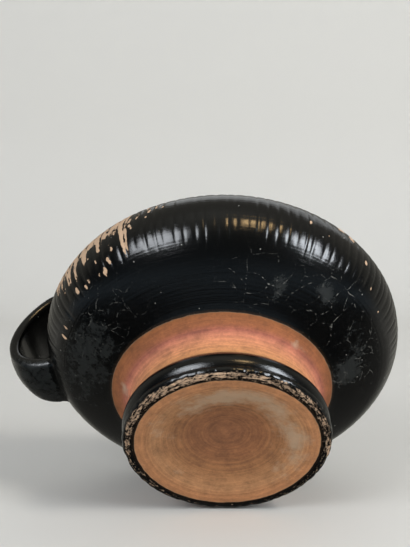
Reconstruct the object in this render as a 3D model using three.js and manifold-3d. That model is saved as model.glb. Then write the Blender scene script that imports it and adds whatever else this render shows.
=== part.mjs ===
// A guttus: a small black-glazed pouring vessel with a squat ribbed body, a turned foot,
// a trumpet spout on the shoulder and a strap loop handle a quarter turn from it.
// It is one fired clay vessel, hollow and empty, parted here where the potter luted it:
// at the widest of the belly and at the roots of the spout and the handle.
// Millimetres, +Z up, standing on the foot, handle towards -X and spout towards +Y.
import * as THREE from 'three';
import { mergeVertices } from 'three/addons/utils/BufferGeometryUtils.js';
import Module from 'manifold-3d';

const wasm = await Module();
wasm.setup();

// Foot: hollow underside, flat resting ring, two turned mouldings and a stem.
// Pairs are a radius and a height about the vessel's own axis, and a pull is a curve's
// control point. Thrown and turned by hand, the foot sits a little off that axis.
const UNDERSIDE_DEPTH = 5.2;
const UNDERSIDE_PULLS = [[9, UNDERSIDE_DEPTH], [19, 1.2]];
const RING_INNER = 24.2;
const RING_OUTER = 28;
const LOWER_MOULDING = 1.6;
const LOWER_MOULDING_END = 1.2;
const MOULDING_GROOVE = [28.5, 3.2];
const UPPER_MOULDING_PULLS = [[30, 4.2], [30.3, 8.2]];
const STEM_FOOT = [27.2, 8.6];
const STEM_WAIST = 26.4;
const STEM_TOP = [27.8, 18];
const FOOT_OFFSET = 0.8;

// Body: a cone that rounds into the belly, then an elliptical shoulder
const BELLY_RADIUS = 53.6;
const BELLY_HEIGHT = 41.1;
const SHOULDER_INNER = 25.3;
const SHOULDER_TOP = 59;
const UNDER_BODY_PULL = [45.5, 26.3];
const BELLY_PULL = 31;
const WALL = 4.2;

// Ribs run from under the belly up the shoulder and die out at both ends
const RIBS = 112;
const RIB_DEPTH = 0.3;
const RIB_START = 0.52;
const RIB_END = THREE.MathUtils.degToRad(76);

// Sunken plain field on top, framed by one raised ring
const FRAME_RADIUS = 27.2;
const FRAME_TOP = 60.4;
const FIELD_RADIUS = 24.4;
const FIELD_EDGE = 57.3;
const FIELD_MIDDLE = 58.2;
const FRAME_HALF_WIDTH = 2.4;
const FRAME_PULL = 1.8;
const FRAME_LIFT = 0.6;
const FRAME_SINK = 0.5;

// Hollow of the body, which dips into the stem
const HOLLOW_FLOOR = 10.4;
const HOLLOW_CEILING = 53.7;
const STEM_BORE = 22.4;
const STEM_BORE_PULL = 14;
const STEM_BORE_TOP = 20.5;
const HOLLOW_CONE_PULL = [41.5, 29.5];
const HOLLOW_BELLY_PULL = 32.5;

// Spout: where its axis meets the shoulder, its lean and its sizes along that axis
const SPOUT_REACH = 40;
const SPOUT_LEAN = THREE.MathUtils.degToRad(20);
const SPOUT_ROOT = 11.5;
const SPOUT_SINK = 6;
const ROOT_PULLS = [[10.9, 1], [8.6, 3]];
const NECK = [8.6, 7.5];
const TRUMPET_PULLS = [[8.6, 17], [11.3, 22]];
const LIP_RADIUS = 16;
const LIP_HEIGHT = 28.5;
const LIP_EDGE = 1.3;
const LIP_INSET = 0.4;
const LIP_FROM = -0.7;
const SPOUT_BORE = 6.3;
const BORE_HEIGHT = 9;
const FUNNEL_PULLS = [[6.3, 18], [10, 23]];
const FUNNEL_INSET = 1.2;
const CUT_PAST = 3;

// Handle: a strap bent to half an ellipse on the shoulder, longer below than above
const LOOP_CENTRE = [46.7, 52.5];
const LOOP_TILT = 0.89;
const LOOP_STAND = 14.4;
const LOOP_BELOW = 20.7;
const LOOP_ABOVE = 9.5;
const LOOP_FROM = THREE.MathUtils.degToRad(-142);
const LOOP_TO = THREE.MathUtils.degToRad(122);
const STRAP_WIDTH = 17.6;
const STRAP_THICKNESS = 3.2;
const STRAP_CROWN = 0.9;
const ROOT_SPREAD = 0.06;

// Gap at the luted joints
const JOINT_GAP = 0.3;

// Fineness of the round and ribbed surfaces
const LOWER_BELT_STEPS = 3;
const UPPER_BELT_STEPS = 4;
const ROUND_SIDES = 56;
const HOLLOW_SIDES = 28;
const SPOUT_SIDES = 24;
const STRAP_STEPS = 16;
const STRAP_EDGE_STEPS = 3;

const GLAZE = new THREE.MeshStandardMaterial({ color: 0x1d1f22, roughness: 0.32, metalness: 0 });

const point = (pair) => new THREE.Vector2(pair[0], pair[1]);
const cubic = (a, b, c, d) => new THREE.CubicBezierCurve(point(a), point(b), point(c), point(d));
const arc = (r, z, semiR, semiZ, from, to) => new THREE.EllipseCurve(r, z, semiR, semiZ, from, to);

// The body's two outer curves, shared by the smooth and the ribbed zones
const underBody = cubic(STEM_TOP, UNDER_BODY_PULL, [BELLY_RADIUS, BELLY_PULL], [BELLY_RADIUS, BELLY_HEIGHT]);
const shoulder = arc(
  SHOULDER_INNER, BELLY_HEIGHT, BELLY_RADIUS - SHOULDER_INNER, SHOULDER_TOP - BELLY_HEIGHT, 0, Math.PI / 2,
);

// Points of part of a curve, both ends included
function stretch(curve, from, to, steps) {
  return Array.from({ length: steps + 1 }, (_, i) => curve.getPoint(from + ((to - from) * i) / steps));
}

// Drops the points that repeat where one curve takes over from another
function joined(...runs) {
  return runs.flat().filter((p, i, all) => i === 0 || p.distanceTo(all[i - 1]) > 1e-6);
}

// A profile of radius against height, turned about +Z
function turned(profile, sides) {
  return new THREE.LatheGeometry(profile, sides).rotateX(Math.PI / 2);
}

// A closed geometry as a solid for joining and cutting
function solid(geometry) {
  const bare = geometry.clone();
  bare.deleteAttribute('normal');
  bare.deleteAttribute('uv');
  const merged = mergeVertices(bare, 1e-5);
  return new wasm.Manifold(new wasm.Mesh({
    numProp: 3,
    vertProperties: new Float32Array(merged.attributes.position.array),
    triVerts: new Uint32Array(merged.index.array),
  }));
}

// Foot, stem and the smooth cone under the belly
function footAndCone() {
  const underside = cubic([0, UNDERSIDE_DEPTH], ...UNDERSIDE_PULLS, [RING_INNER, 0]);
  const lower = arc(
    RING_OUTER, LOWER_MOULDING, LOWER_MOULDING, LOWER_MOULDING, -Math.PI / 2, LOWER_MOULDING_END,
  );
  const upper = cubic(MOULDING_GROOVE, ...UPPER_MOULDING_PULLS, STEM_FOOT);
  const waist = (STEM_FOOT[1] + STEM_TOP[1]) / 2;
  const stem = new THREE.QuadraticBezierCurve(point(STEM_FOOT), point([STEM_WAIST, waist]), point(STEM_TOP));
  const cone = stretch(underBody, 0, RIB_START, 3);
  const end = cone[cone.length - 1];
  const geometry = turned(joined(
    stretch(underside, 0, 1, 3), stretch(lower, 0, 1, 3), stretch(upper, 0, 1, 4), stretch(stem, 0, 1, 2),
    cone, [new THREE.Vector2(0, end.y)],
  ), ROUND_SIDES);
  const position = geometry.attributes.position;
  for (let i = 0; i < position.count; i += 1) {
    const below = Math.max(0, 1 - position.getZ(i) / STEM_TOP[1]);
    position.setX(i, position.getX(i) + FOOT_OFFSET * below);
  }
  return geometry;
}

// Rows of a ribbed zone: each has its spot on the profile and the way out of the clay there
function beltRows(curve, from, to, steps) {
  return Array.from({ length: steps + 1 }, (_, i) => {
    const t = from + ((to - from) * i) / steps;
    const tangent = curve.getTangent(t);
    return { spot: curve.getPoint(t), out: new THREE.Vector2(tangent.y, -tangent.x) };
  });
}

// The ribbed zones below and above the joint at the widest of the belly
function lowerBelt() {
  const rows = beltRows(underBody, RIB_START, 1, LOWER_BELT_STEPS);
  rows[LOWER_BELT_STEPS].spot.y -= JOINT_GAP / 2;
  return rows;
}

function upperBelt() {
  const rows = beltRows(shoulder, 0, RIB_END / (Math.PI / 2), UPPER_BELT_STEPS);
  rows[0].spot.y += JOINT_GAP / 2;
  return rows;
}

// A ribbed zone: two columns to a rib, every other one sunk into a groove. One end row
// lies on the flat sides of the smooth zone that it runs into, so that the two meet exactly.
function ribbed(rows, smoothRow) {
  const columns = RIBS * 2;
  const spots = rows.map((row) => row.spot);
  const end = spots[spots.length - 1];
  const profile = [new THREE.Vector2(0, spots[0].y), ...spots, new THREE.Vector2(0, end.y)];
  const belt = new THREE.LatheGeometry(profile, columns);
  const position = belt.attributes.position;
  const halfSide = Math.PI / ROUND_SIDES;
  rows.forEach((row, i) => {
    for (let column = 0; column <= columns; column += 1) {
      const angle = (column / columns) * Math.PI * 2;
      const spot = row.spot.clone();
      if (i === smoothRow) {
        spot.x *= Math.cos(halfSide) / Math.cos((angle % (2 * halfSide)) - halfSide);
      } else if (column % 2 === 1) {
        spot.addScaledVector(row.out, -RIB_DEPTH);
      }
      position.setXYZ(
        column * profile.length + i + 1, spot.x * Math.sin(angle), spot.y, spot.x * Math.cos(angle),
      );
    }
  });
  return belt.rotateX(Math.PI / 2);
}

// Raised ring and plain sunken field on top
function topField() {
  const start = shoulder.getPoint(RIB_END / (Math.PI / 2));
  const crest = FRAME_TOP + FRAME_LIFT;
  const ring = cubic(
    [FRAME_RADIUS + FRAME_HALF_WIDTH, SHOULDER_TOP - FRAME_SINK], [FRAME_RADIUS + FRAME_PULL, crest],
    [FRAME_RADIUS - FRAME_PULL, crest], [FIELD_RADIUS, FIELD_EDGE],
  );
  return turned([
    new THREE.Vector2(0, start.y), start, ...stretch(ring, 0, 1, 4), new THREE.Vector2(0, FIELD_MIDDLE),
  ], ROUND_SIDES);
}

// The empty inside of the body
function bodyHollow() {
  const belly = BELLY_RADIUS - WALL;
  const stemTop = [STEM_BORE, STEM_BORE_TOP];
  const floor = cubic([0, HOLLOW_FLOOR], [STEM_BORE, HOLLOW_FLOOR], [STEM_BORE, STEM_BORE_PULL], stemTop);
  const cone = cubic(stemTop, HOLLOW_CONE_PULL, [belly, HOLLOW_BELLY_PULL], [belly, BELLY_HEIGHT]);
  const vault = arc(
    SHOULDER_INNER, BELLY_HEIGHT, belly - SHOULDER_INNER, HOLLOW_CEILING - BELLY_HEIGHT, 0, Math.PI / 2,
  );
  return turned(joined(
    stretch(floor, 0, 1, 3), stretch(cone, 0, 1, 4), stretch(vault, 0, 1, 4),
    [new THREE.Vector2(0, HOLLOW_CEILING)],
  ), HOLLOW_SIDES);
}

// Leans a turned shape outwards and sets it on the shoulder
function onShoulder(geometry) {
  const across = (SPOUT_REACH - SHOULDER_INNER) / (BELLY_RADIUS - SHOULDER_INNER);
  const height = BELLY_HEIGHT + (SHOULDER_TOP - BELLY_HEIGHT) * Math.sqrt(1 - across * across);
  return geometry.rotateX(-SPOUT_LEAN).translate(0, SPOUT_REACH, height);
}

// Spout from outside: a spreading root, a narrow neck and a trumpet with a rolled lip
function spoutOutside() {
  const root = cubic([SPOUT_ROOT, -SPOUT_SINK], ...ROOT_PULLS, NECK);
  const trumpet = cubic(NECK, ...TRUMPET_PULLS, [LIP_RADIUS, LIP_HEIGHT - LIP_EDGE]);
  const lip = arc(LIP_RADIUS - LIP_INSET, LIP_HEIGHT, LIP_EDGE, LIP_EDGE, LIP_FROM, Math.PI / 2);
  return onShoulder(turned([
    new THREE.Vector2(0, -SPOUT_SINK),
    ...joined(stretch(root, 0, 1, 3), stretch(trumpet, 0, 1, 5), stretch(lip, 0, 1, 3)),
    new THREE.Vector2(0, LIP_HEIGHT + LIP_EDGE),
  ], SPOUT_SIDES));
}

// The way through the spout into the body
function spoutInside() {
  const top = LIP_HEIGHT + LIP_EDGE;
  const depth = SPOUT_SINK + CUT_PAST;
  const mouth = LIP_RADIUS - FUNNEL_INSET;
  const funnel = cubic([SPOUT_BORE, BORE_HEIGHT], ...FUNNEL_PULLS, [mouth, top]);
  return onShoulder(turned([
    new THREE.Vector2(0, -depth), new THREE.Vector2(SPOUT_BORE, -depth), ...stretch(funnel, 0, 1, 4),
    new THREE.Vector2(mouth, top + CUT_PAST), new THREE.Vector2(0, top + CUT_PAST),
  ], SPOUT_SIDES));
}

// Centre line of the handle's loop
class LoopCurve extends THREE.Curve {
  getPoint(t) {
    const angle = LOOP_FROM + (LOOP_TO - LOOP_FROM) * t;
    const out = LOOP_STAND * Math.cos(angle);
    const along = (angle < 0 ? LOOP_BELOW : LOOP_ABOVE) * Math.sin(angle);
    const reach = LOOP_CENTRE[0] + out * Math.cos(LOOP_TILT) - along * Math.sin(LOOP_TILT);
    const height = LOOP_CENTRE[1] + out * Math.sin(LOOP_TILT) + along * Math.cos(LOOP_TILT);
    return new THREE.Vector3(-reach, 0, height);
  }
}

// Handle: a strap with half-round edges and a crowned outer face, wider towards both roots
function handle() {
  const edge = STRAP_THICKNESS / 2;
  const flat = STRAP_WIDTH / 2 - edge;
  const section = new THREE.Shape();
  section.moveTo(-flat, -edge);
  section.quadraticCurveTo(0, -edge - 2 * STRAP_CROWN, flat, -edge);
  section.absarc(flat, 0, edge, -Math.PI / 2, Math.PI / 2);
  section.lineTo(-flat, edge);
  section.absarc(-flat, 0, edge, Math.PI / 2, Math.PI * 1.5);
  const strap = new THREE.ExtrudeGeometry(section, {
    steps: STRAP_STEPS, curveSegments: STRAP_EDGE_STEPS, extrudePath: new LoopCurve(), bevelEnabled: false,
  });
  const position = strap.attributes.position;
  for (let i = 0; i < position.count; i += 1) {
    const reach = -position.getX(i) - LOOP_CENTRE[0];
    const height = position.getZ(i) - LOOP_CENTRE[1];
    const out = reach * Math.cos(LOOP_TILT) + height * Math.sin(LOOP_TILT);
    const spread = 1 + ROOT_SPREAD * (1 - out / LOOP_STAND) ** 2;
    position.setY(i, position.getY(i) * spread);
  }
  return strap;
}

// The body swelled by the joints' gap, to cut the roots of the spout and the handle to
function bodyClearance() {
  const rows = [...lowerBelt(), ...upperBelt()];
  const swelled = rows.map((row) => row.spot.clone().addScaledVector(row.out, JOINT_GAP));
  const frame = FRAME_RADIUS + FRAME_HALF_WIDTH + JOINT_GAP;
  const top = FRAME_TOP + JOINT_GAP;
  return turned([
    new THREE.Vector2(0, swelled[0].y), ...swelled, new THREE.Vector2(frame, swelled[swelled.length - 1].y),
    new THREE.Vector2(frame, top), new THREE.Vector2(0, top),
  ], ROUND_SIDES);
}

// A named, glazed piece of the vessel
function glazed(name, shape) {
  const data = shape.getMesh();
  const geometry = new THREE.BufferGeometry();
  geometry.setAttribute('position', new THREE.BufferAttribute(new Float32Array(data.vertProperties), 3));
  geometry.setIndex(new THREE.BufferAttribute(new Uint32Array(data.triVerts), 1));
  geometry.computeVertexNormals();
  const mesh = new THREE.Mesh(geometry, GLAZE);
  mesh.name = name;
  return mesh;
}

const bore = solid(spoutInside());
const hollow = solid(bodyHollow());
const clearance = solid(bodyClearance());
const bowl = solid(footAndCone()).add(solid(ribbed(lowerBelt(), 0)));
const dome = solid(ribbed(upperBelt(), UPPER_BELT_STEPS)).add(solid(topField()));

// The origin is on the ground under the middle of the vessel's box
const vessel = new THREE.Group();
vessel.add(
  glazed('bowl_and_foot', bowl.subtract(hollow)),
  glazed('shoulder', dome.subtract(hollow).subtract(bore)),
  glazed('spout', solid(spoutOutside()).subtract(bore).subtract(clearance)),
  glazed('handle', solid(handle()).subtract(clearance)),
);
const middle = new THREE.Box3().setFromObject(vessel).getCenter(new THREE.Vector3());
vessel.position.set(-middle.x, -middle.y, 0);

const guttus = new THREE.Group();
guttus.add(vessel);

export default guttus;
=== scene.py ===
import math

import bmesh
import bpy
import numpy as np
from mathutils import Matrix, Vector, kdtree, noise


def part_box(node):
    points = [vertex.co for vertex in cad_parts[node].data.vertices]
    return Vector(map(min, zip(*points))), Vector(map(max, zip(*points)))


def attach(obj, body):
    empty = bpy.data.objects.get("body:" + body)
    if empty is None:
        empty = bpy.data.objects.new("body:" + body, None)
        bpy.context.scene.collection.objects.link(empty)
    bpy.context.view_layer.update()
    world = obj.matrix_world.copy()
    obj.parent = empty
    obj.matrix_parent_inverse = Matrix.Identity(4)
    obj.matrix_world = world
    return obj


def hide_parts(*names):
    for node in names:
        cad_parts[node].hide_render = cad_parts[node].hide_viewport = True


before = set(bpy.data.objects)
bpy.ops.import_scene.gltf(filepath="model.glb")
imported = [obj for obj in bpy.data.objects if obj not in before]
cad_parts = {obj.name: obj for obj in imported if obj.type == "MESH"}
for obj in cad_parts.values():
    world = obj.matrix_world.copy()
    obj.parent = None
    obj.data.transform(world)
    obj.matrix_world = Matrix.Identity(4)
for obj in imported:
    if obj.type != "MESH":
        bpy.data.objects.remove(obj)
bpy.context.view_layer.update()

bpy.ops.object.select_all(action="DESELECT")

# Body and foot: fine orange clay thrown on the wheel and turned when leather hard. One
# profile runs from the hollow underside over the foot's two mouldings, the stem, the belly
# and the shoulder to the sunken field on top, and is spun about the vessel's own axis.
mm = 0.001
stem_foot, stem_top = (27.2, 8.6), (27.8, 18.0)
belly_radius, belly_height = 53.6, 41.1
shoulder_inner, shoulder_top = 25.3, 59.0
field_radius, field_edge, field_middle = 24.4, 57.3, 58.2
foot_offset = 0.8
ribs, columns_per_rib = 112, 8


def bezier(a, b, c, d, steps, start=0.0, end=1.0):
    t = np.linspace(start, end, steps + 1)[:, None]
    a, b, c, d = (np.array(corner, float) for corner in (a, b, c, d))
    return (1 - t) ** 3 * a + 3 * t * (1 - t) ** 2 * b + 3 * t ** 2 * (1 - t) * c + t ** 3 * d


def arc(centre, semi, start, end, steps):
    t = np.linspace(start, end, steps + 1)[:, None]
    return np.array(centre) + np.hstack([semi[0] * np.cos(t), semi[1] * np.sin(t)])


def chained(*runs):
    """Curves set end to end, without the points that repeat where two of them meet."""
    line = np.vstack(runs)
    return line[np.r_[True, np.linalg.norm(np.diff(line, axis=0), axis=1) > 1e-6]]


def spun(name, line, steps):
    """A closed solid from a line of radius and height in millimetres, spun about +Z."""
    mesh = bpy.data.meshes.new(name)
    corners = [(radius * mm, 0, height * mm) for radius, height in line]
    mesh.from_pydata(corners, [(i, i + 1) for i in range(len(corners) - 1)], [])
    made = bpy.data.objects.new(name, mesh)
    bpy.context.scene.collection.objects.link(made)
    bpy.context.view_layer.objects.active = made
    wheel = made.modifiers.new("wheel", "SCREW")
    wheel.steps = wheel.render_steps = steps
    bpy.ops.object.modifier_apply(modifier=wheel.name)
    bpy.ops.object.mode_set(mode="EDIT")
    bpy.ops.mesh.select_all(action="SELECT")
    bpy.ops.mesh.remove_doubles(threshold=1e-6)
    bpy.ops.mesh.normals_make_consistent(inside=False)
    bpy.ops.object.mode_set(mode="OBJECT")
    return made


under_body = (stem_top, (45.5, 26.3), (belly_radius, 31.0), (belly_radius, belly_height))
shoulder_semi = (belly_radius - shoulder_inner, shoulder_top - belly_height)
shoulder_bend, shoulder_end = math.radians(62), math.radians(78)
underside = bezier((0, 5.2), (9, 5.2), (19, 1.2), (24.2, 0), 7)
resting_ring = bezier((24.2, 0), (25.2, 0), (26.4, 0), (27.4, 0), 1)
lower_moulding = arc((28, 1.6), (1.6, 1.6), -1.4, 1.2, 7)
upper_moulding = bezier((28.5, 3.2), (30, 4.2), (30.3, 8.2), stem_foot, 8)
stem = bezier(stem_foot, (26.7, 11.7), (26.9, 15), stem_top, 4)
belly = [bezier(*under_body, steps, start, end)
         for start, end, steps in ((0, 0.46, 6), (0.46, 0.68, 10), (0.68, 1, 9))]
shoulder = [arc((shoulder_inner, belly_height), shoulder_semi, start, end, steps)
            for start, end, steps in ((0, shoulder_bend, 15), (shoulder_bend, shoulder_end, 6))]
raised_ring = bezier((29.6, 58.5), (29, 61), (25.4, 61), (field_radius, field_edge), 8)
sunken_field = bezier((field_radius, field_edge), (23.9, 56.9), (12, field_middle), (0, field_middle), 4)
outer_line = chained(underside, resting_ring, lower_moulding, upper_moulding, stem, *belly, *shoulder,
                     raised_ring, sunken_field)
vessel = spun("guttus", outer_line, ribs * columns_per_rib)

# The ribs: narrow upright strokes drawn side by side into the leather-hard belly and shoulder
# with a blunt point, so each groove has its own depth, drift and ragged lower end.
groove_depth, groove_sharpness, rib_swell = 0.13, 5, 0.012
groove_foot, groove_run_out = 30.2, 2.6
groove_top, groove_top_run = 31.5, 2.6
strokes = np.random.default_rng(112)
stroke_depth = strokes.uniform(0.45, 1.3, ribs)
stroke_foot = strokes.normal(0, 0.8, ribs)
stroke_top = strokes.normal(0, 0.5, ribs)
drift_share = 0.055
drift_waves = [(count, strokes.uniform(0, 2 * math.pi)) for count in (7, 19, 31, 43, 53)]


def eased(share):
    share = np.clip(share, 0, 1)
    return share * share * (3 - 2 * share)


def stroke_drift(around):
    waves = sum(np.sin(count * around + phase) for count, phase in drift_waves)
    return drift_share * waves * 2 * math.pi / ribs


def groove_press(around, radius, height):
    """How far a spot of the skin is pressed in, and its share of a full groove."""
    turn = ribs * around / (2 * math.pi)
    stroke = np.round(turn).astype(int) % ribs
    across = 0.5 + 0.5 * np.cos(2 * math.pi * (turn - np.round(turn)))
    bottom = eased((height - groove_foot - stroke_foot[stroke]) / groove_run_out)
    top = eased((radius - groove_top - stroke_top[stroke]) / groove_top_run)
    share = across ** groove_sharpness * stroke_depth[stroke] * bottom * top
    return groove_depth * share + rib_swell * across * bottom * top, share


def vertex_array(mesh, field):
    values = np.empty(len(mesh.vertices) * 3)
    mesh.vertices.foreach_get(field, values)
    return values.reshape(-1, 3)


spots = vertex_array(vessel.data, "co") / mm
ways_out = vertex_array(vessel.data, "normal")
around = np.arctan2(spots[:, 1], spots[:, 0])
radius = np.hypot(spots[:, 0], spots[:, 1])
spots -= groove_press(around, radius, spots[:, 2])[0][:, None] * ways_out
around_now = around + stroke_drift(around)
radius_now = np.hypot(spots[:, 0], spots[:, 1])
spots[:, 0] = radius_now * np.cos(around_now)
spots[:, 1] = radius_now * np.sin(around_now)

# The foot was set a little off the body's axis, and its resting edge is worn uneven.
rim_dent, rim_dent_size, worn_below, worn_beyond = 0.35, 2.2, 2.6, 26.8


def foot_shift(height):
    """How far the skin at a height lies off the body's axis, in millimetres."""
    return foot_offset * np.clip(1 - height / stem_top[1], 0, None)


worn_edge = (spots[:, 2] < worn_below) & (radius > worn_beyond)
for i in np.flatnonzero(worn_edge):
    dent = max(0.0, noise.noise(Vector(spots[i]) / rim_dent_size))
    spots[i] -= rim_dent * dent * ways_out[i]
spots[:, 0] += foot_shift(spots[:, 2])
vessel.data.vertices.foreach_set("co", (spots * mm).ravel())

# Spout: thrown apart and luted on the shoulder, a spreading root, a narrow neck and a
# trumpet with a rolled lip. Its inside is open from the mouth into the body.
spout_reach, spout_lean = 40.0, math.radians(20)
spout_neck, spout_sunk = (8.6, 7.5), -6
spout_bore, bore_sunk, mouth_clear = 6.3, -9, 3
lip_radius, lip_height, lip_edge, lip_wall = 16.0, 28.5, 1.3, 1.2
mouth = lip_height + lip_edge
seat_share = (spout_reach - shoulder_inner) / shoulder_semi[0]
spout_seat = belly_height + shoulder_semi[1] * math.sqrt(1 - seat_share * seat_share)
seat = Matrix.Translation((0, spout_reach * mm, spout_seat * mm))
on_shoulder = seat @ Matrix.Rotation(-spout_lean, 4, "X")
spout = spun("spout", chained(
    [(0, spout_sunk)],
    bezier((11.5, spout_sunk), (10.9, 1), (8.6, 3), spout_neck, 14),
    bezier(spout_neck, (8.6, 17), (11.3, 22), (lip_radius, lip_height - lip_edge), 22),
    arc((lip_radius - 0.4, lip_height), (lip_edge, lip_edge), -0.7, math.pi / 2, 8),
    [(0, mouth)],
), steps=120)
spout.data.transform(on_shoulder)
bore = spun("spout_bore", chained(
    [(0, bore_sunk), (spout_bore, bore_sunk)],
    bezier((spout_bore, 9), (spout_bore, 18), (10, 23), (lip_radius - lip_wall, mouth), 18),
    [(lip_radius - lip_wall, mouth + mouth_clear), (0, mouth + mouth_clear)],
), steps=96)
bore.data.transform(on_shoulder)

# Handle: a strap of clay with half-round edges and a crowned outer face, bent into a loop and
# pressed on the shoulder a quarter turn from the spout, longer below than above. Bent by hand,
# it leans and is pinched above its lower root, spreads on its far edge, and is luted on thick.
loop_centre, loop_tilt = (46.7, 52.5), 0.89
loop_stand, loop_below, loop_above = 14.4, 20.7, 9.5
loop_from, loop_to, loop_steps = math.radians(-142), math.radians(122), 52
strap_width, strap_thickness, strap_crown, root_spread = 17.6, 3.2, 0.9, 0.02
loop_middle = Vector((-loop_centre[0], 0, loop_centre[1]))
loop_out = Vector((-math.cos(loop_tilt), 0, math.sin(loop_tilt)))
loop_along = Vector((math.sin(loop_tilt), 0, math.cos(loop_tilt)))

# Uneven spots of the strap: how much, the angle on the loop, and how far they spread
thick_root, far_lean = (0.4, -2.05, 0.4), (0.05, -1.75, 0.6)
far_pinch, far_spread = (0.1, -1.1, 0.6), (0.18, -0.15, 0.55)


def uneven(angle, amount, middle, spread):
    return amount * math.exp(-((angle - middle) / spread) ** 2)


def loop_frame(angle):
    """Place of the strap's section on the loop: outwards, across and along, in metres."""
    stretch = loop_below if angle < 0 else loop_above
    centre = loop_middle.copy()
    centre += loop_stand * math.cos(angle) * loop_out + stretch * math.sin(angle) * loop_along
    onward = -loop_stand * math.sin(angle) * loop_out + stretch * math.cos(angle) * loop_along
    onward.normalize()
    sideways = Vector((0, 1, 0))
    outwards = onward.cross(sideways)
    luted = uneven(angle, *thick_root)
    leaned = uneven(angle, *far_lean)
    sideways -= leaned * outwards
    centre -= (leaned * strap_width / 2 + luted) * outwards
    outwards *= 1 + luted
    pinched = uneven(angle, *far_pinch) - uneven(angle, *far_spread)
    sideways *= 1 + root_spread * (1 - math.cos(angle)) ** 2 - pinched
    centre.y -= pinched * strap_width / 2
    placed = Matrix((outwards, sideways, onward)).transposed().to_4x4()
    return Matrix.Translation(centre * mm) @ placed


edge_radius = strap_thickness / 2
flat_half = strap_width / 2 - edge_radius
crown_pull = edge_radius + 1.33 * strap_crown
section = chained(
    bezier((edge_radius, -flat_half), (crown_pull, -flat_half / 3), (crown_pull, flat_half / 3),
           (edge_radius, flat_half), 14),
    arc((0, flat_half), (edge_radius, edge_radius), 0, math.pi, 8),
    bezier((-edge_radius, flat_half), (-edge_radius, flat_half / 3), (-edge_radius, -flat_half / 3),
           (-edge_radius, -flat_half), 8),
    arc((0, -flat_half), (edge_radius, edge_radius), math.pi, 2 * math.pi, 8)[:-1],
)
handle_mesh = bpy.data.meshes.new("handle")
frames = [loop_frame(angle) for angle in np.linspace(loop_from, loop_to, loop_steps + 1)]
lower_end = [frames[0] @ Vector((out * mm, side * mm, 0)) for out, side in section]
handle_mesh.from_pydata(lower_end, [], [range(len(section))])
handle = bpy.data.objects.new("handle", handle_mesh)
bpy.context.scene.collection.objects.link(handle)
bpy.context.view_layer.objects.active = handle
bpy.ops.object.mode_set(mode="EDIT")
bpy.ops.mesh.select_all(action="SELECT")
for before, after in zip(frames, frames[1:]):
    bpy.ops.mesh.extrude_region()
    edit = bmesh.from_edit_mesh(handle_mesh)
    moved = [corner for corner in edit.verts if corner.select]
    bmesh.ops.transform(edit, matrix=after @ before.inverted(), verts=moved)
bmesh.update_edit_mesh(handle_mesh)
bpy.ops.mesh.select_all(action="SELECT")
bpy.ops.mesh.normals_make_consistent(inside=False)
bpy.ops.object.mode_set(mode="OBJECT")

# The empty inside: the body was thrown hollow and closed at the belly, so a wall about
# 4 mm thick runs all round and only the spout leads out. It is bare clay.
wall, stem_bore, hollow_floor, hollow_ceiling = 4.2, 22.4, 10.4, 53.7
hollow_stem_top, hollow_belly = 20.5, belly_radius - wall
hollow = spun("hollow", chained(
    bezier((0, hollow_floor), (stem_bore, hollow_floor), (stem_bore, 14), (stem_bore, hollow_stem_top), 12),
    bezier((stem_bore, hollow_stem_top), (41.5, 29.5), (hollow_belly, 32.5),
           (hollow_belly, belly_height), 16),
    arc((shoulder_inner, belly_height), (hollow_belly - shoulder_inner, hollow_ceiling - belly_height),
        0, math.pi / 2, 12),
    [(0, hollow_ceiling)],
), steps=96)


def linear(hex_colour):
    channels = [int(hex_colour[i:i + 2], 16) / 255 for i in (1, 3, 5)]
    return [c / 12.92 if c <= 0.04045 else ((c + 0.055) / 1.055) ** 2.4 for c in channels] + [1]


def node(tree, kind, inputs, **settings):
    """One node with its settings, its inputs given as values or as sockets to link."""
    made = tree.nodes.new(kind)
    for name, value in settings.items():
        setattr(made, name, value)
    for name, value in inputs.items():
        if isinstance(value, bpy.types.NodeSocket):
            tree.links.new(value, made.inputs[name])
        else:
            made.inputs[name].default_value = value
    return made


def fresh_material(name):
    made = bpy.data.materials.new(name)
    made.use_nodes = True
    made.node_tree.nodes.clear()
    return made, made.node_tree


# Bare fired clay, thrown and left as it came off the wheel: dull, orange brown and grainy.
thrown_clay, tree = fresh_material("thrown_orange_clay")
coordinates = node(tree, "ShaderNodeTexCoord", {})
clay_grain = node(tree, "ShaderNodeTexNoise", {
    "Vector": coordinates.outputs["Object"], "Scale": 1 / (2.5 * mm), "Detail": 5, "Roughness": 0.6})
clay_tones = node(tree, "ShaderNodeValToRGB", {"Fac": clay_grain.outputs["Fac"]})
clay_tones.color_ramp.elements[0].position = 0.3
clay_tones.color_ramp.elements[0].color = linear("#7d5236")
clay_tones.color_ramp.elements[1].position = 0.7
clay_tones.color_ramp.elements[1].color = linear("#b07c52")
clay_bump = node(tree, "ShaderNodeBump", {
    "Height": clay_grain.outputs["Fac"], "Strength": 0.4, "Distance": 0.2 * mm})
clay_surface = node(tree, "ShaderNodeBsdfPrincipled", {
    "Base Color": clay_tones.outputs["Color"], "Roughness": 0.9, "Normal": clay_bump.outputs["Normal"]})
node(tree, "ShaderNodeOutputMaterial", {"Surface": clay_surface.outputs["BSDF"]})
hollow.data.materials.append(thrown_clay)

# The vessel put together: spout and handle are luted on with slip and wiped round with a
# wet finger, which leaves a small soft fillet at each root. Then it is one piece of clay.
fillet_reach, fillet_angle, fillet_passes = 1.7, math.radians(28), 10
spout_root_reach, spout_root_rise = 14, 7
handle_root_beyond, handle_root_half = -28, 12


def joined(other, operation):
    """Adds another shape to the vessel, or cuts it away, and uses it up."""
    boolean = vessel.modifiers.new(operation.lower(), "BOOLEAN")
    boolean.operation = operation
    boolean.solver = "MANIFOLD"
    boolean.material_mode = "TRANSFER"
    boolean.object = other
    bpy.context.view_layer.objects.active = vessel
    bpy.ops.object.modifier_apply(modifier=boolean.name)
    bpy.data.objects.remove(other)


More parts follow.
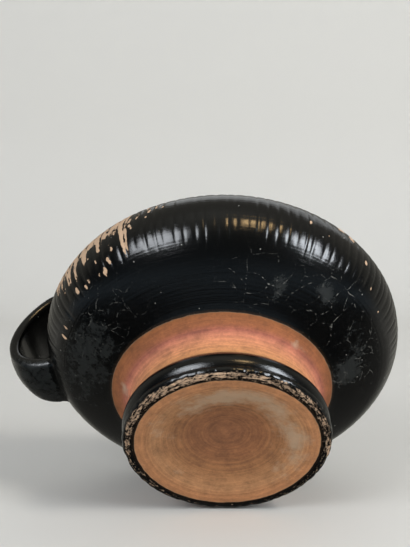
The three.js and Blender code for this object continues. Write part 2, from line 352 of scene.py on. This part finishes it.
vessel.data.materials.append(None)
joined(spout, "UNION")
joined(handle, "UNION")
bpy.ops.object.select_all(action="DESELECT")
vessel.select_set(True)
bpy.ops.object.mode_set(mode="EDIT")
bpy.ops.mesh.select_mode(type="EDGE")
bpy.ops.mesh.select_all(action="DESELECT")
bpy.ops.mesh.edges_select_sharp(sharpness=fillet_angle)
bpy.ops.mesh.select_mode(type="VERT")
bpy.ops.object.mode_set(mode="OBJECT")
spots = vertex_array(vessel.data, "co") / mm
sharp = np.empty(len(spots), bool)
vessel.data.vertices.foreach_get("select", sharp)
from_spout = np.array([(on_shoulder.inverted() @ Vector(spot * mm)) / mm for spot in spots[sharp]])
at_spout = np.hypot(from_spout[:, 0], from_spout[:, 1]) < spout_root_reach
at_spout &= np.abs(from_spout[:, 2]) < spout_root_rise
at_handle = (spots[sharp, 0] < handle_root_beyond) & (np.abs(spots[sharp, 1]) < handle_root_half)
at_handle &= np.hypot(spots[sharp, 0], spots[sharp, 1]) < belly_radius + 1
seeds = spots[sharp][at_spout | at_handle]
tree_of_seeds = kdtree.KDTree(len(seeds))
for i, seed in enumerate(seeds):
    tree_of_seeds.insert(seed, i)
tree_of_seeds.balance()
near_root = np.array([tree_of_seeds.find(spot)[2] < fillet_reach for spot in spots])
vessel.data.vertices.foreach_set("select", near_root)
bpy.ops.object.mode_set(mode="EDIT")
bpy.ops.mesh.vertices_smooth(factor=0.5, repeat=fillet_passes)
bpy.ops.object.mode_set(mode="OBJECT")
joined(hollow, "DIFFERENCE")
joined(bore, "DIFFERENCE")
bpy.ops.object.mode_set(mode="EDIT")
bpy.ops.mesh.select_all(action="SELECT")
bpy.ops.mesh.dissolve_degenerate(threshold=1e-6)
bpy.ops.mesh.select_all(action="DESELECT")
bpy.ops.object.mode_set(mode="OBJECT")

# Marks of the potter and of age, worked out for each spot of the skin: how far it lies along
# the profile and inside the zones left without slip, in a groove, where the slip has flaked
# off or dulled, and where the resting edge is rubbed bare. The dulled mark also holds painted
# shade that keeps the inner face of the handle's loop black.
azimuth_of_view = 12.0
band_edge, bare_foot_edge = (32.0, 20.5), 26.1
band_wander, band_wander_towards = 0.5, math.radians(-168)
skin_step, skin_reach, slip_all_over = 0.1, 0.9, -5
along_line = np.r_[0, np.cumsum(np.linalg.norm(np.diff(outer_line, axis=0), axis=1))]
fine_along = np.arange(0, along_line[-1], skin_step)
fine_line = np.column_stack([np.interp(fine_along, along_line, outer_line[:, k]) for k in (0, 1)])
skin = kdtree.KDTree(len(fine_line))
for i, spot in enumerate(fine_line):
    skin.insert((spot[0], spot[1], 0), i)
skin.balance()


def along_at(radius, height):
    return fine_along[skin.find((radius, height, 0))[1]]


def lump(values, centre, spread):
    return np.exp(-((values - centre) / spread) ** 2)


spots = vertex_array(vessel.data, "co") / mm
height = spots[:, 2]
turned_x = spots[:, 0] - foot_shift(height)
radius = np.hypot(turned_x, spots[:, 1])
around = np.arctan2(spots[:, 1], turned_x)
found = [skin.find((r, z, 0)) for r, z in zip(radius, height)]
along = np.array([fine_along[hit[1]] for hit in found])
on_body = np.array([hit[2] for hit in found]) < skin_reach

# Degrees round the axis as the view shows them, 0 at its right and 90 at its top, and the
# same counted from below, for patches at the right where the first count jumps
seen_at = (azimuth_of_view - np.degrees(around)) % 360
seen_from_below = (seen_at + 90) % 360


def across_skin(at):
    """Millimetres round the skin from an angle of the view."""
    return (seen_at - at) * math.radians(1) * radius


def patches(table):
    """Soft patches from rows of weight, angle with its spread, and height with its spread."""
    return sum(weight * lump(seen_at, at, wide) * lump(height, level, tall)
               for weight, at, wide, level, tall in table)


band_end = along_at(*band_edge) + band_wander * np.cos(around - band_wander_towards)
in_band = np.minimum(along - along_at(stem_foot[0], stem_foot[1] + 0.2), band_end - along)
reserve = np.maximum(along_at(bare_foot_edge, 0) - along, in_band)
reserve = np.where(on_body, reserve, slip_all_over)

# The big flaked patch lies on the belly left of the view's top. Its lower edge runs down in
# fingers on single ribs, with islands below them and a scatter of specks beside the patch.
sound_slip, above_body = -1.5, 60.0
flake_from, flake_to, flake_edge, flake_top, flake_top_run = 120.8, 156, 40.2, 52, 4
finger_half, finger_flank, finger_rise = 0.6, 3, 40
speck_from, speck_to, speck_low, speck_strength = 104, 124, 40.5, 1.38
flake_fingers = ((121.8, 32.4), (131.3, 36.2), (138, 37), (143.2, 35.2), (146.6, 35), (150.4, 34.8),
                 (154, 37))
flake_low = np.where((seen_at > flake_from) & (seen_at < flake_to), flake_edge, above_body)
for at, low in flake_fingers:
    flank = eased((np.abs(across_skin(at)) - finger_half) / finger_flank)
    flake_low = np.minimum(flake_low, low + finger_rise * flank)
flaking = np.clip((height - flake_low) / 1.6, sound_slip, 0.6)
specks = eased((seen_at - speck_from) / 6) * eased((speck_to - seen_at) / 4)
specks *= eased((height - speck_low) / 3)
flaking = np.maximum(flaking, speck_strength * specks + sound_slip)
flaking -= 2.5 * eased((height - flake_top) / flake_top_run)

# Single chips, and spots of slip worn thin: angle of the view, height and size in millimetres
chip_scale, chip_slimness, chip_strength, thin_strength = 0.87, 0.5, 2.6, 1.4
chips = ((119.4, 40.2, 1.1), (119.7, 42.4, 1.0), (126.6, 35.2, 1.0), (127.4, 37.4, 0.6),
         (128.3, 32.4, 0.8), (128.8, 33.4, 0.8), (131, 31.8, 1.0), (131.8, 31.0, 0.7),
         (134.1, 31.6, 0.8), (133.6, 34.9, 0.7), (138.8, 32.0, 0.9), (140.8, 31.5, 0.7),
         (144.8, 32.6, 1.0), (163.6, 29.9, 0.9), (159.6, 30.4, 0.7), (64.4, 42, 0.8),
         (62.8, 40.1, 0.8), (56.4, 38, 0.8), (40, 38.1, 1.0), (34.4, 33, 0.8),
         (50, 46, 2.6), (46, 44, 2.2), (110.8, 44.7, 0.8), (112.8, 44, 0.9), (113.8, 41.3, 0.6),
         (115.2, 43.4, 0.7), (117, 42.3, 0.7), (118.8, 38.8, 0.6), (108.6, 43.5, 0.6))
for at, level, size in chips:
    spread = across_skin(at) ** 2 + chip_slimness * (height - level) ** 2
    flaking = np.maximum(flaking, chip_strength * np.exp(-spread / (chip_scale * size) ** 2) + sound_slip)
thin_spots = ((150, 32.3, 2.2), (146, 29.8, 1.6), (112, 44, 3), (170, 27, 1.5))
for at, level, size in thin_spots:
    spread = across_skin(at) ** 2 + (height - level) ** 2
    flaking = np.maximum(flaking, thin_strength * np.exp(-spread / size ** 2) + sound_slip)
flaking = np.where(on_body, flaking, sound_slip)

# Slip dulled to grey under the belly and on the handle's outer face, and scratched in places.
# On the handle the grey keeps to faces turned out of the loop, and painted shade leaves the inner face
# black.
handle_dull_outside_shade_inside = 0.5
dulled_and_handle_shade = patches((
    (0.66, 158, 26, 24.5, 5.5), (0.35, 190, 25, 27, 8), (0.8, 68, 4, 24.4, 2.4),
    (0.8, 50, 4.5, 26.6, 1.9), (0.74, 8, 11, 22.5, 2.6), (0.42, 28, 24, 25, 5.5)))
# Painted shade: only faces turned out from the loop's middle take the handle's grey; the inner face of the
# loop stays black where shade falls
from_loop = spots - np.array(loop_middle)
facing_out = np.sum(vertex_array(vessel.data, "normal") * from_loop, axis=1)
facing_out /= np.linalg.norm(from_loop, axis=1)
off_handle = on_body | (spots[:, 0] > handle_root_beyond)
dulled_and_handle_shade += handle_dull_outside_shade_inside * np.where(off_handle, 0, eased((facing_out + 0.1) / 0.6))
scratchy = patches((
    (1, 76, 12, 25, 2.6), (1, 44, 12, 26, 4), (0.6, 15, 20, 24, 4), (0.5, 150, 20, 26, 5)))

# Resting edge rubbed bare, most towards the view's top, with a line on the upper moulding
rub_mean, rub_swing, most_rubbed_at = 0.82, 0.13, 100
rub_from, rub_to, moulding_at = along_at(bare_foot_edge, 0) + 0.2, along_at(29.5, 1.9), along_at(29.5, 5.2)
rubbed = eased((along - rub_from) / 0.7) * eased((rub_to - along) / 2.2)
rubbed *= rub_mean + rub_swing * np.cos(np.radians(seen_at - most_rubbed_at))
rubbed += 0.5 * lump(seen_from_below, 86, 9) * lump(along, along_at(29.5, 2), 2)
rubbed += 0.55 * lump(along, moulding_at, 0.9)
rubbed = np.where(on_body, rubbed, 0)

# Clay a little lighter towards one side of the view and darker towards the other, with pale deposits on the
# underside and the stem
fired_swing, stem_lightest_at, underside_lightest_at, underside_below = 0.06, 140, 20, 6
lightest_at = np.where(height > underside_below, stem_lightest_at, underside_lightest_at)
fired = 1 + fired_swing * np.cos(np.radians(seen_at - lightest_at))
crust_mean, crust_swing, most_crusted_at = 0.4, 0.32, 100
deposit = crust_mean + crust_swing * np.cos(np.radians(seen_at - most_crusted_at))
deposit *= lump(along, along_at(18, 1.8), 6)
deposit += 0.6 * lump(seen_from_below, 70, 30) * lump(along, along_at(20, 1.1), 3.5)
deposit += patches(((0.85, 172, 9, 18.3, 1.1), (0.6, 45, 7, 18.2, 1)))
grooved = np.where(on_body, groove_press(around - stroke_drift(around), radius, height)[1], 0)
marks = {"along": along, "reserve": reserve, "grooved": grooved, "flaking": flaking, "dulled_and_handle_shade": dulled_and_handle_shade,
         "scratchy": scratchy, "rubbed": rubbed, "deposit": deposit, "fired": fired}
for name, values in marks.items():
    attribute = vessel.data.attributes.new(name, "FLOAT", "POINT")
    attribute.data.foreach_set("value", values.astype(np.float32))

# Black gloss slip on fired clay: a thin sintered skin of fine iron-rich clay, near black and
# glossy, over porous orange clay that shows matt where it was left bare, flaked or rubbed.
slip_black, slip_brown, slip_bloom, slip_thin = "#040506", "#0b0a08", "#232524", "#33261a"
flaked_beige, deposit_beige, scratch_grey = "#be9e80", "#b09a80", "#a09e96"
clay_along = (
    (0, 5.2, "#8a5a3a"), (10, 4.6, "#8c5b38"), (15, 3.2, "#96663f"), (21, 0.9, "#a97950"),
    (23.5, 0.1, "#ac764c"), (26.9, 0, "#ac764c"), (27.2, 9, "#c58b58"), (26.8, 13.5, "#bf7f57"),
    (27.5, 16.8, "#b06d52"), (27.8, 18, "#9c5a47"), (29.5, 19, "#8d5433"), (32.0, 20.5, "#87522b"),
)
glazed_clay, tree = fresh_material("black_gloss_slip_on_fired_clay")
coordinates = node(tree, "ShaderNodeTexCoord", {})
place = node(tree, "ShaderNodeMapping", {"Vector": coordinates.outputs["Object"], "Scale": (1 / mm,) * 3})
place = place.outputs["Vector"]
mark = {name: node(tree, "ShaderNodeAttribute", {}, attribute_name=name).outputs["Fac"] for name in marks}

# Places drawn out round the wheel's axis, for marks that run with the turning
across_wheel = node(tree, "ShaderNodeMath", {0: mark["along"], 1: 4}, operation="MULTIPLY")
turned_place = node(tree, "ShaderNodeSeparateXYZ", {"Vector": place})
turned_place = node(tree, "ShaderNodeCombineXYZ", {
    "X": turned_place.outputs["X"], "Y": turned_place.outputs["Y"], "Z": across_wheel.outputs[0]})
turned_place = turned_place.outputs["Vector"]

# Edge of the brushed slip, which wavers by a few tenths of a millimetre
waver = node(tree, "ShaderNodeTexNoise", {"Vector": place, "Scale": 1 / 2.4, "Detail": 3})
edge = node(tree, "ShaderNodeMath", {0: waver.outputs["Fac"], 1: 0.35, 2: mark["reserve"]},
            operation="MULTIPLY_ADD")
bare = node(tree, "ShaderNodeMapRange", {"Value": edge.outputs[0], "From Min": 0.06, "From Max": 0.29})
edge_thin = node(tree, "ShaderNodeMapRange", {
    "Value": edge.outputs[0], "From Min": -0.77, "From Max": 0.06, "To Max": 0.7})

# Flakes with ragged edges of about 2 mm, which keep to the crests of the ribs
flake_place = node(tree, "ShaderNodeMapping", {"Vector": place, "Scale": (1 / 2, 1 / 2, 1 / 3.4)})
flake_noise = node(tree, "ShaderNodeTexNoise", {
    "Vector": flake_place.outputs["Vector"], "Scale": 1, "Detail": 4, "Roughness": 0.68})
flake_sum = node(tree, "ShaderNodeMath", {0: flake_noise.outputs["Fac"], 1: 4, 2: mark["flaking"]},
                 operation="MULTIPLY_ADD")
flake_sum = node(tree, "ShaderNodeMath", {0: mark["grooved"], 1: -0.7, 2: flake_sum.outputs[0]},
                 operation="MULTIPLY_ADD")
flaked = node(tree, "ShaderNodeMapRange", {"Value": flake_sum.outputs[0], "From Min": 2.16, "From Max": 2.3})
thinned = node(tree, "ShaderNodeMapRange", {
    "Value": flake_sum.outputs[0], "From Min": 1.8, "From Max": 2.16, "To Max": 0.8})

# Pinprick chips, one here and there on a net of 7 mm cells
pricks = node(tree, "ShaderNodeTexVoronoi", {"Vector": place, "Scale": 1 / 7})
prick_size = node(tree, "ShaderNodeMapRange", {
    "Value": pricks.outputs["Distance"], "From Min": 0.05, "From Max": 0.03})
prick_pick = node(tree, "ShaderNodeSeparateColor", {"Color": pricks.outputs["Color"]})
prick_pick = node(tree, "ShaderNodeMath", {0: prick_pick.outputs["Red"], 1: 0.72}, operation="GREATER_THAN")
chipped = node(tree, "ShaderNodeMath", {0: prick_size.outputs[0], 1: prick_pick.outputs[0]},
               operation="MULTIPLY")

# Pale specks too fine for the net above, a few in each square centimetre
dust = node(tree, "ShaderNodeTexVoronoi", {"Vector": place, "Scale": 1 / 2.6})
dust_size = node(tree, "ShaderNodeMapRange", {
    "Value": dust.outputs["Distance"], "From Min": 0.085, "From Max": 0.05, "To Max": 0.85})
dust_pick = node(tree, "ShaderNodeSeparateColor", {"Color": dust.outputs["Color"]})
dust_pick = node(tree, "ShaderNodeMath", {0: dust_pick.outputs["Green"], 1: 0.7}, operation="GREATER_THAN")
dusty = node(tree, "ShaderNodeMath", {0: dust_size.outputs[0], 1: dust_pick.outputs[0]},
             operation="MULTIPLY")

# Resting edge rubbed through in millimetre patches
rub_noise = node(tree, "ShaderNodeTexNoise", {
    "Vector": turned_place, "Scale": 1 / 2.6, "Detail": 6, "Roughness": 0.72})
rub_spots = node(tree, "ShaderNodeTexNoise", {
    "Vector": place, "Scale": 1 / 0.8, "Detail": 5, "Roughness": 0.75})
rub_sum = node(tree, "ShaderNodeMath", {0: rub_noise.outputs["Fac"], 1: 1.5, 2: mark["rubbed"]},
               operation="MULTIPLY_ADD")
rub_sum = node(tree, "ShaderNodeMath", {0: rub_spots.outputs["Fac"], 1: 0.9, 2: rub_sum.outputs[0]},
               operation="MULTIPLY_ADD")
rubbed_through = node(tree, "ShaderNodeMapRange", {
    "Value": rub_sum.outputs[0], "From Min": 2.03, "From Max": 2.26})
open_clay = flaked.outputs[0]
for loss in (chipped, rubbed_through, bare):
    both = node(tree, "ShaderNodeMath", {0: open_clay, 1: loss.outputs[0]}, operation="MAXIMUM")
    open_clay = both.outputs[0]

# Bare clay: its tone changes along the profile, with fine turning lines and soft mottling
clay_length = along_at(*band_edge) + 2
clay_share = node(tree, "ShaderNodeMath", {0: mark["along"], 1: 1 / clay_length}, operation="MULTIPLY")
clay_tone = node(tree, "ShaderNodeValToRGB", {"Fac": clay_share.outputs[0]})
for i, (radius_at, height_at, colour) in enumerate(clay_along):
    stops = clay_tone.color_ramp.elements
    stop = stops[i] if i < 2 else stops.new(1)
    stop.position = along_at(radius_at, height_at) / clay_length
    stop.color = linear(colour)
turn_along = node(tree, "ShaderNodeMath", {0: mark["along"], 1: 1 / 0.9}, operation="MULTIPLY")
turning = node(tree, "ShaderNodeTexNoise", {
    "W": turn_along.outputs[0], "Scale": 1, "Detail": 3, "Roughness": 0.7}, noise_dimensions="1D")
mottle = node(tree, "ShaderNodeTexNoise", {"Vector": place, "Scale": 1 / 4, "Detail": 6, "Roughness": 0.65})
streaks = node(tree, "ShaderNodeTexNoise", {
    "Vector": turned_place, "Scale": 1 / 4, "Detail": 7, "Roughness": 0.72})
turn_mottle = mottle.outputs["Fac"]
for pattern, weight in ((turning, 0.7), (streaks, 0.9), (rub_spots, 0.8)):
    added = node(tree, "ShaderNodeMath", {0: pattern.outputs["Fac"], 1: weight, 2: turn_mottle},
                 operation="MULTIPLY_ADD")
    turn_mottle = added.outputs[0]
shade = node(tree, "ShaderNodeMapRange", {
    "Value": turn_mottle, "From Min": 1.35, "From Max": 2.05, "To Min": 0.6, "To Max": 1.3})
# Clay made a little lighter towards one side of the view and darker towards the other
shade = node(tree, "ShaderNodeMath", {0: shade.outputs[0], 1: mark["fired"]}, operation="MULTIPLY")
clay_shaded = node(tree, "ShaderNodeVectorMath", {0: clay_tone.outputs["Color"], "Scale": shade.outputs[0]},
                   operation="SCALE")
crust_noise = node(tree, "ShaderNodeTexNoise", {
    "Vector": place, "Scale": 1 / 3, "Detail": 7, "Roughness": 0.78})
crust_drift = node(tree, "ShaderNodeTexNoise", {"Vector": place, "Scale": 1 / 9, "Detail": 2})
crust_share = node(tree, "ShaderNodeMapRange", {
    "Value": crust_drift.outputs["Fac"], "From Min": 0.35, "From Max": 0.65, "To Min": 0.3, "To Max": 1.5})
crust = node(tree, "ShaderNodeMath", {0: mark["deposit"], 1: crust_share.outputs[0]}, operation="MULTIPLY")
crust = node(tree, "ShaderNodeMath", {0: crust_noise.outputs["Fac"], 1: 1.4, 2: crust.outputs[0]},
             operation="MULTIPLY_ADD")
crust = node(tree, "ShaderNodeMapRange", {
    "Value": crust.outputs[0], "From Min": 1.0, "From Max": 1.55, "To Max": 0.66})
clay_crusted = node(tree, "ShaderNodeMix", {
    "Factor": crust.outputs[0], "A": clay_shaded.outputs[0], "B": linear(deposit_beige)}, data_type="RGBA")

# Slip: black to brown black, dulled to grey in clouds and on the handle's outer face, with
# hairline scratches. Painted shade leaves the inner face of the handle's loop black.
clouds = node(tree, "ShaderNodeTexNoise", {"Vector": place, "Scale": 1 / 14, "Detail": 4})
slip_tone = node(tree, "ShaderNodeMix", {
    "Factor": clouds.outputs["Fac"], "A": linear(slip_black), "B": linear(slip_brown)}, data_type="RGBA")
thin = node(tree, "ShaderNodeMath", {0: thinned.outputs[0], 1: edge_thin.outputs[0]}, operation="MAXIMUM")
slip_tone = node(tree, "ShaderNodeMix", {
    "Factor": thin.outputs[0], "A": slip_tone.outputs["Result"], "B": linear(slip_thin)}, data_type="RGBA")
dull_noise = node(tree, "ShaderNodeTexNoise", {
    "Vector": place, "Scale": 1 / 3, "Detail": 8, "Roughness": 0.8})
dull_and_handle_shade = node(tree, "ShaderNodeMath", {0: dull_noise.outputs["Fac"], 1: 2.0, 2: mark["dulled_and_handle_shade"]},
            operation="MULTIPLY_ADD")
dull_and_handle_shade = node(tree, "ShaderNodeMapRange", {"Value": dull_and_handle_shade.outputs[0], "From Min": 1.45, "From Max": 1.8})
slip_dulled_and_handle_shade = node(tree, "ShaderNodeMix", {
    "Factor": dull_and_handle_shade.outputs[0], "A": slip_tone.outputs["Result"], "B": linear(slip_bloom)}, data_type="RGBA")
scratch_bend = node(tree, "ShaderNodeTexNoise", {"Vector": place, "Scale": 1 / 18, "Detail": 2})
scratch_place = node(tree, "ShaderNodeVectorMath", {
    0: scratch_bend.outputs["Color"], 1: (14, 14, 14), 2: place}, operation="MULTIPLY_ADD")
scratch_net = node(tree, "ShaderNodeTexVoronoi", {
    "Vector": scratch_place.outputs[0], "Scale": 1 / 6}, feature="DISTANCE_TO_EDGE")
scratch_line = node(tree, "ShaderNodeMapRange", {
    "Value": scratch_net.outputs["Distance"], "From Min": 0.02, "From Max": 0.007})
scratch_patch = node(tree, "ShaderNodeMapRange", {
    "Value": rub_noise.outputs["Fac"], "From Min": 0.52, "From Max": 0.6, "To Max": 0.8})
scratched = node(tree, "ShaderNodeMath", {0: scratch_line.outputs[0], 1: scratch_patch.outputs[0]},
                 operation="MULTIPLY")
scratched = node(tree, "ShaderNodeMath", {0: scratched.outputs[0], 1: mark["scratchy"]},
                 operation="MULTIPLY", use_clamp=True)
scratched = node(tree, "ShaderNodeMath", {0: scratched.outputs[0], 1: dusty.outputs[0]}, operation="MAXIMUM")
slip_scratched = node(tree, "ShaderNodeMix", {
    "Factor": scratched.outputs[0], "A": slip_dulled_and_handle_shade.outputs["Result"], "B": linear(scratch_grey)},
    data_type="RGBA")

# Colour, gloss and relief put together; heights are in millimetres
clay_colour = node(tree, "ShaderNodeMix", {
    "Factor": bare.outputs[0], "A": linear(flaked_beige), "B": clay_crusted.outputs["Result"]},
    data_type="RGBA")
colour = node(tree, "ShaderNodeMix", {
    "Factor": open_clay, "A": slip_scratched.outputs["Result"], "B": clay_colour.outputs["Result"]},
    data_type="RGBA")
slip_rough = node(tree, "ShaderNodeMapRange", {"Value": dull_and_handle_shade.outputs[0], "To Min": 0.17, "To Max": 0.42})
rough = node(tree, "ShaderNodeMix", {"Factor": open_clay, "A": slip_rough.outputs[0], "B": 0.85})
grain = node(tree, "ShaderNodeTexNoise", {"Vector": place, "Scale": 1 / 0.7, "Detail": 4, "Roughness": 0.6})
relief = node(tree, "ShaderNodeMath", {0: grain.outputs["Fac"], 1: 0.02}, operation="MULTIPLY").outputs[0]
for pattern, rise in ((turning.outputs["Fac"], 0.05), (streaks.outputs["Fac"], 0.035), (open_clay, -0.05)):
    added = node(tree, "ShaderNodeMath", {0: pattern, 1: rise, 2: relief}, operation="MULTIPLY_ADD")
    relief = added.outputs[0]
bump = node(tree, "ShaderNodeBump", {"Height": relief, "Strength": 0.8, "Distance": mm})
surface = node(tree, "ShaderNodeBsdfPrincipled", {
    "Base Color": colour.outputs["Result"], "Roughness": rough.outputs["Result"], "IOR": 1.52,
    "Normal": bump.outputs["Normal"]})
node(tree, "ShaderNodeOutputMaterial", {"Surface": surface.outputs["BSDF"]})
vessel.data.materials[0] = glazed_clay

low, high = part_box("bowl_and_foot")
axis_place = Vector(((low.x + high.x) / 2, (low.y + high.y) / 2, 0))
vessel.data.transform(Matrix.Translation(axis_place))
bpy.ops.object.select_all(action="DESELECT")
vessel.select_set(True)
bpy.context.view_layer.objects.active = vessel
bpy.ops.object.shade_smooth_by_angle(angle=math.radians(50))
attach(vessel, "root")
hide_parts("bowl_and_foot", "shoulder", "spout", "handle")

# Camera: close to the underside, as the vessel lies tipped on its foot and belly
view_azimuth = math.radians(azimuth_of_view)
view_rise, view_roll = math.radians(48.84), math.radians(0.38)
focal_pixels, image_height, sensor = 1106, 547, 36
axis_seen_from_camera = Vector((5.5, -48.08, -309.6)) * mm
forward = Vector((-math.sin(view_azimuth) * math.cos(view_rise),
                  math.cos(view_azimuth) * math.cos(view_rise), math.sin(view_rise)))
level_right = Vector((math.cos(view_azimuth), math.sin(view_azimuth), 0))
right = (Matrix.Rotation(view_roll, 3, forward) @ level_right).normalized()
upward = right.cross(forward)
turn = Matrix((right, upward, -forward)).transposed()
camera_data = bpy.data.cameras.new("camera")
camera_data.sensor_width = sensor
camera_data.lens = focal_pixels * sensor / image_height
camera_data.clip_start = 0.01
camera = bpy.data.objects.new("camera", camera_data)
camera.matrix_world = Matrix.Translation(axis_place - turn @ axis_seen_from_camera) @ turn.to_4x4()
bpy.context.scene.collection.objects.link(camera)
bpy.context.scene.camera = camera

# Floor: a pale board that sweeps up into a wall, square to the vessel as it lies tipped.
# It shows from its upper side only, so views from below still see the vessel.
floor_dip = math.radians(7.5)
sweep_width, sweep_front, sweep_back, sweep_radius, sweep_height = 1.6, 0.5, 0.30, 0.12, 0.9
up_floor = (math.cos(floor_dip) * upward - math.sin(floor_dip) * forward).normalized()
back = up_floor.cross(right).normalized()
spots = vertex_array(vessel.data, "co")
level = float((spots @ np.array(up_floor)).min())
centre_spot = Vector(spots.mean(0))
floor_origin = centre_spot + (level - centre_spot.dot(up_floor)) * up_floor
bend = [(sweep_back + sweep_radius * math.sin(t), sweep_radius * (1 - math.cos(t)))
        for t in np.linspace(0, math.pi / 2, 13)]
sweep_line = [(-sweep_front, 0)] + bend + [(sweep_back + sweep_radius, sweep_height)]
sweep_start = floor_origin - sweep_width / 2 * right
sweep_mesh = bpy.data.meshes.new("floor")
sweep_mesh.from_pydata([sweep_start + run * back + rise * up_floor for run, rise in sweep_line],
                       [(i, i + 1) for i in range(len(sweep_line) - 1)], [])
floor = bpy.data.objects.new("floor", sweep_mesh)
bpy.context.scene.collection.objects.link(floor)
bpy.ops.object.select_all(action="DESELECT")
floor.select_set(True)
bpy.context.view_layer.objects.active = floor
bpy.ops.object.mode_set(mode="EDIT")
bpy.ops.mesh.select_all(action="SELECT")
bpy.ops.mesh.extrude_edges_move(TRANSFORM_OT_translate={"value": sweep_width * right})
bpy.ops.mesh.select_all(action="SELECT")
bpy.ops.mesh.normals_make_consistent(inside=False)
bpy.ops.object.mode_set(mode="OBJECT")
if sum(face.normal.dot(up_floor - back) for face in floor.data.polygons) < 0:
    floor.data.flip_normals()
bpy.ops.object.shade_smooth()
board, tree = fresh_material("pale_board")
board_surface = node(tree, "ShaderNodeBsdfPrincipled", {"Base Color": linear("#cecbc4"), "Roughness": 0.75})
board_back = node(tree, "ShaderNodeBsdfTransparent", {})
board_side = node(tree, "ShaderNodeNewGeometry", {})
board_mix = node(tree, "ShaderNodeMixShader", {
    "Fac": board_side.outputs["Backfacing"], 1: board_surface.outputs["BSDF"],
    2: board_back.outputs["BSDF"]})
node(tree, "ShaderNodeOutputMaterial", {"Surface": board_mix.outputs["Shader"]})
floor.data.materials.append(board)
floor.visible_shadow = False
floor.visible_glossy = False

# Lights: a small key lamp for the shadows, two white softboxes and a warm lamp round the
# camera, placed by the highlights that they leave on the belly, and a weak fill behind.
light_distance = 0.9
lamps = (
    ("key_lamp", 50, 42, 0.14, 0.14, "#fffdf8", 46),
    ("softbox_left", -41, 29, 0.46, 0.34, "#f4f9ff", 9.5),
    ("softbox_right", 54, 24, 0.28, 0.36, "#f2f8ff", 15.5),
    ("warm_lamp", 29, 54, 0.22, 0.14, "#ffd79c", 16),
    ("far_fill", 165, 38, 0.90, 0.50, "#eef2f6", 0.9),
)
for name, sideways, rise, wide, tall, colour, radiance in lamps:
    sideways, rise = math.radians(sideways), math.radians(rise)
    level_way = math.sin(sideways) * right - math.cos(sideways) * back
    way = math.cos(rise) * level_way + math.sin(rise) * up_floor
    lamp_data = bpy.data.lights.new(name, "AREA")
    lamp_data.shape = "RECTANGLE"
    lamp_data.size, lamp_data.size_y = wide, tall
    lamp_data.color = linear(colour)[:3]
    lamp_data.energy = radiance * math.pi * wide * tall
    lamp = bpy.data.objects.new(name, lamp_data)
    lamp_x = up_floor.cross(way).normalized()
    lamp_turn = Matrix((lamp_x, way.cross(lamp_x), way)).transposed()
    lamp.matrix_world = Matrix.Translation(centre_spot + light_distance * way) @ lamp_turn.to_4x4()
    bpy.context.scene.collection.objects.link(lamp)
    lamp.visible_camera = False
    lamp.visible_diffuse = name != "warm_lamp"
    lamp.visible_glossy = name != "key_lamp"

# Room: dim tones from floor to ceiling that only the gloss mirrors, in front of the vessel and
# behind it, with an even grey light on everything else and a pale backdrop for the camera.
backdrop, room_light = "#d8d6d0", "#93979e"
world = bpy.data.worlds.new("studio")
bpy.context.scene.world = world
world.use_nodes = True
world.node_tree.nodes.clear()
tree = world.node_tree
sky_way = node(tree, "ShaderNodeTexCoord", {}).outputs["Generated"]
sky_rise = node(tree, "ShaderNodeVectorMath", {0: sky_way, 1: up_floor}, operation="DOT_PRODUCT")
sky_rise = node(tree, "ShaderNodeMapRange", {"Value": sky_rise.outputs["Value"], "From Min": -1})
room_tones = {
    "front": ((0, "#030405"), (0.318, "#030405"), (0.343, "#8799a6"), (0.364, "#8799a6"), (0.413, "#46535c"),
              (0.474, "#2e363c"), (0.587, "#23282c"), (0.75, "#3a3c3a"), (0.9, "#8f8f86"), (1, "#bab9b0")),
    "back": ((0, "#4a4a46"), (0.2, "#4e4d49"), (0.27, "#85847d"), (0.31, "#aeaca4"), (0.4, "#9a988f"),
             (0.54, "#85837b"), (1, "#8f8c83")),
}
room = {}
for side, tones in room_tones.items():
    ramp = node(tree, "ShaderNodeValToRGB", {"Fac": sky_rise.outputs[0]})
    for i, (at, colour) in enumerate(tones):
        stops = ramp.color_ramp.elements
        stop = stops[i] if i < 2 else stops.new(1)
        stop.position = at
        stop.color = linear(colour)
    room[side] = ramp.outputs["Color"]
sky_back = node(tree, "ShaderNodeVectorMath", {0: sky_way, 1: back}, operation="DOT_PRODUCT")
sky_back = node(tree, "ShaderNodeMapRange", {
    "Value": sky_back.outputs["Value"], "From Min": -0.2, "From Max": 0.15})
room_seen = node(tree, "ShaderNodeMix", {
    "Factor": sky_back.outputs[0], "A": room["front"], "B": room["back"]}, data_type="RGBA")
ray = node(tree, "ShaderNodeLightPath", {})
sky_seen = node(tree, "ShaderNodeMix", {
    "Factor": ray.outputs["Is Glossy Ray"], "A": linear(room_light), "B": room_seen.outputs["Result"]},
    data_type="RGBA")
sky_seen = node(tree, "ShaderNodeMix", {
    "Factor": ray.outputs["Is Camera Ray"], "A": sky_seen.outputs["Result"], "B": linear(backdrop)},
    data_type="RGBA")
sky_light = node(tree, "ShaderNodeBackground", {"Color": sky_seen.outputs["Result"], "Strength": 1})
node(tree, "ShaderNodeOutputWorld", {"Surface": sky_light.outputs["Background"]})
bpy.context.scene.view_settings.view_transform = "Standard"
